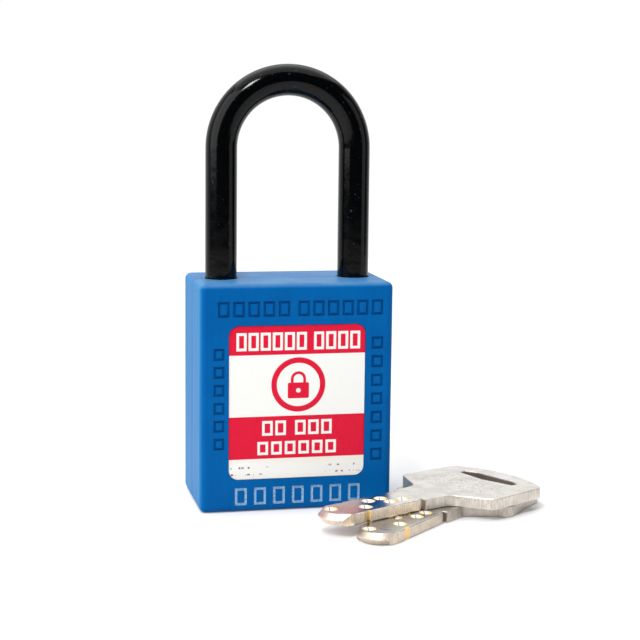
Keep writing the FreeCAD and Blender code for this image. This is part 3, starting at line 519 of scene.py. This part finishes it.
def key_material(node):
    """Tumbled nickel silver: worn and scratched, bright in the cuts, a fine cast texture on the bow, with
    a painted dark reflection seam down each dimple's middle and brass painted as shading at its left and
    right.
    """
    low, high = box_mm(node)
    x, y, heading = KEY_PLACES[node]
    heading = math.radians(heading)
    along = Vector((math.cos(heading), math.sin(heading), 0.0))
    across = Vector((-along.y, along.x, 0.0))
    shader = Shader(node + "_metal")
    offset = shader.vector("SUBTRACT", shader.place, (x, y, (low.z + high.z) / 2))
    u = shader.math("ADD", shader.vector("DOT_PRODUCT", offset, tuple(along)), KEY_REFERENCE)
    w = shader.vector("DOT_PRODUCT", offset, tuple(across))
    height = shader.split(offset)[2]
    face = shader.math("SIGN", height)
    spot = shader.join(u, shader.math("MULTIPLY", w, face))
    nearest = painted_seams = brass_shading_rims = None
    for distance, side in KEY_DIMPLES:
        centre = Vector((x, y, 0.0)) + along * (distance - KEY_REFERENCE) + across * side * DIMPLE_ROW
        gap = shader.vector("DISTANCE", spot, (distance, side * DIMPLE_ROW, 0.0))
        # Distance along world X from the dimple's middle: the painted reflection seam lies along it, and
        # the painted shading lies at the dimple's left and right.
        sideways = shader.math("ABSOLUTE", shader.math("SUBTRACT", shader.x, centre.x))
        inside = shader.below(gap, DIMPLE_RADIUS)
        painted_seam = shader.both(inside, shader.below(sideways, 0.09, 0.1))
        brass_shading_rim = shader.both(inside, shader.ramp(sideways, 0.6, 1.15))
        nearest = gap if nearest is None else shader.math("MINIMUM", nearest, gap)
        painted_seams = painted_seam if painted_seams is None else shader.either(painted_seams, painted_seam)
        brass_shading_rims = brass_shading_rim if brass_shading_rims is None else shader.either(brass_shading_rims, brass_shading_rim)
    depth = shader.math("SUBTRACT", (high.z - low.z) / 2, shader.math("ABSOLUTE", height))
    dimples = shader.both(shader.below(nearest, DIMPLE_RADIUS + 0.04), shader.ramp(depth, 0.01, 0.05))
    edge_cut = shader.both(shader.between(u, *EDGE_CUT, 0.2),
                           shader.ramp(shader.math("ABSOLUTE", w), *EDGE_CUT_SIDE))
    slot_start, slot_end, slot_half = RING_SLOT
    slot = shader.both(shader.between(u, slot_start - 0.1, slot_end + 0.1, 0.1),
                       shader.below(shader.math("ABSOLUTE", w), slot_half + 0.1),
                       shader.ramp(depth, 0.2, 0.35))
    worn = shader.noise(0.35, 5.0, 0.6)
    across_edge = shader.join(shader.math("MULTIPLY", u, 2.2), shader.math("MULTIPLY", w, 2.2),
                              shader.math("MULTIPLY", height, 0.35))
    tooling = shader.noise(1.6, 4.0, 0.75, vector=across_edge)
    bow = shader.both(shader.ramp(u, 30.0, 33.0), shader.below(shader.math("ABSOLUTE", w), 9.0, 2.5),
                      shader.below(u, 41.0, 1.0))
    cast = shader.noise(1.6, 5.0, 0.75)
    tint = shader.mix(shader.ramp(worn, 0.3, 0.7), KEY_SILVER_DULL, KEY_SILVER)
    wall = shader.ramp(depth, 0.15, 0.3)
    rubbed = shader.both(wall, shader.ramp(u, 18.5, 21.5, 1.0, 0.3),
                         shader.ramp(worn, 0.3, 0.6, 0.5, 1.0))
    tint = shader.mix(rubbed, tint, EDGE_WARM)
    marks = shader.either(shader.ramp(tooling, 0.5, 0.7, 0.0, 0.35),
                          shader.both(wall, shader.ramp(tooling, 0.42, 0.66, 0.12, 0.5)),
                          shader.both(bow, shader.ramp(cast, 0.5, 0.62, 0.0, 0.6)))
    tint = shader.mix(marks, tint, KEY_SCRATCH)
    tint = shader.vector("MULTIPLY", tint, KEY_TONES[node])
    tint = shader.mix(dimples, tint, DIMPLE_CREAM)
    # Brass of the cut, laid only at each dimple's left and right as painted shading.
    tint = shader.mix(shader.both(dimples, brass_shading_rims), tint, CUT_BRASS)
    # Painted dark reflection seam down each dimple's middle.
    tint = shader.mix(shader.both(dimples, painted_seams), tint, DIMPLE_PAINTED_REFLECTION_SEAM)
    tint = shader.mix(edge_cut, tint, CUT_BRASS)
    # The ring slot's walls are drawn dark brown; the dimples and the slot's walls are less metallic.
    shader.set("Base Color", shader.mix(slot, tint, SLOT_BROWN))
    dimples_and_slot = shader.either(dimples, slot)
    shader.set("Metallic", shader.math("SUBTRACT", 1.0, shader.math("MULTIPLY", dimples_and_slot, 0.8)))
    lay = shader.join(shader.math("MULTIPLY", u, 0.25), shader.math("MULTIPLY", w, 4.0), height)
    scratches = shader.noise(2.0, 5.0, 0.7, vector=lay)
    blade = shader.without(shader.both(shader.below(u, 19.0, 4.0), shader.ramp(u, 3.0, 4.5)), wall)
    smooth = shader.math("ADD", shader.ramp(worn, 0.3, 0.75, 0.12, 0.20),
                         shader.math("MULTIPLY", scratches, 0.08))
    dull = shader.math("ADD", 0.34, shader.math("MULTIPLY", tooling, 0.12))
    shader.set("Roughness", shader.either(smooth, shader.without(dull, blade)))
    shader.bump((shader.both(bow, cast), 0.12), (tooling, 0.03), (scratches, 0.008))
    return shader.material


# ---- machined metal inside ----

BRASS = (0.80, 0.58, 0.26)
BRASS_DARK = (0.62, 0.42, 0.16)
STEEL = (0.64, 0.65, 0.66)
STEEL_DARK = (0.42, 0.44, 0.46)


def brass_material():
    """Turned brass with fine rings round the cylinder's axis."""
    shader = Shader("turned_brass", Metallic=1.0)
    radius = shader.vector("LENGTH", shader.join(shader.x, shader.y))
    rings = shader.noise(6.0, 2.0, vector=shader.join(radius, shader.math("MULTIPLY", shader.z, 0.4)))
    clouds = shader.noise(0.5, 3.0)
    shader.set("Base Color", shader.mix(clouds, BRASS_DARK, BRASS))
    shader.set("Roughness", shader.ramp(rings, 0.3, 0.7, 0.24, 0.40))
    shader.bump((rings, 0.008), (clouds, 0.01))
    return shader.material


def steel_material():
    """Zinc-plated steel."""
    shader = Shader("plated_steel", Metallic=1.0)
    clouds = shader.noise(0.8, 4.0, 0.6)
    shader.set("Base Color", shader.mix(clouds, STEEL_DARK, STEEL))
    shader.set("Roughness", shader.ramp(clouds, 0.3, 0.7, 0.26, 0.42))
    shader.bump((shader.noise(3.0, 3.0), 0.006), (clouds, 0.01))
    return shader.material


def dress_nodes():
    """Give every CAD node its finish."""
    blue, brass, steel = case_material(), brass_material(), steel_material()
    finishes = {
        "front_shell": blue,
        "rear_shell": blue,
        "front_label": front_label_material(),
        "rear_label": rear_label_material(),
        "shackle": shackle_material(),
        "lower_key": key_material("lower_key"),
        "upper_key": key_material("upper_key"),
    }
    slot_finish = {"brass": brass, "steel": steel}
    for part in frame["record"]["subparts"]:
        node = frame["nodes"][part["node"]]
        finish = finishes.get(part["node"]) or slot_finish[part["material_slot"]]
        for slot in node.material_slots:
            slot.material = finish


add_camera()
light_the_scene()
add_floor()
dress_nodes()
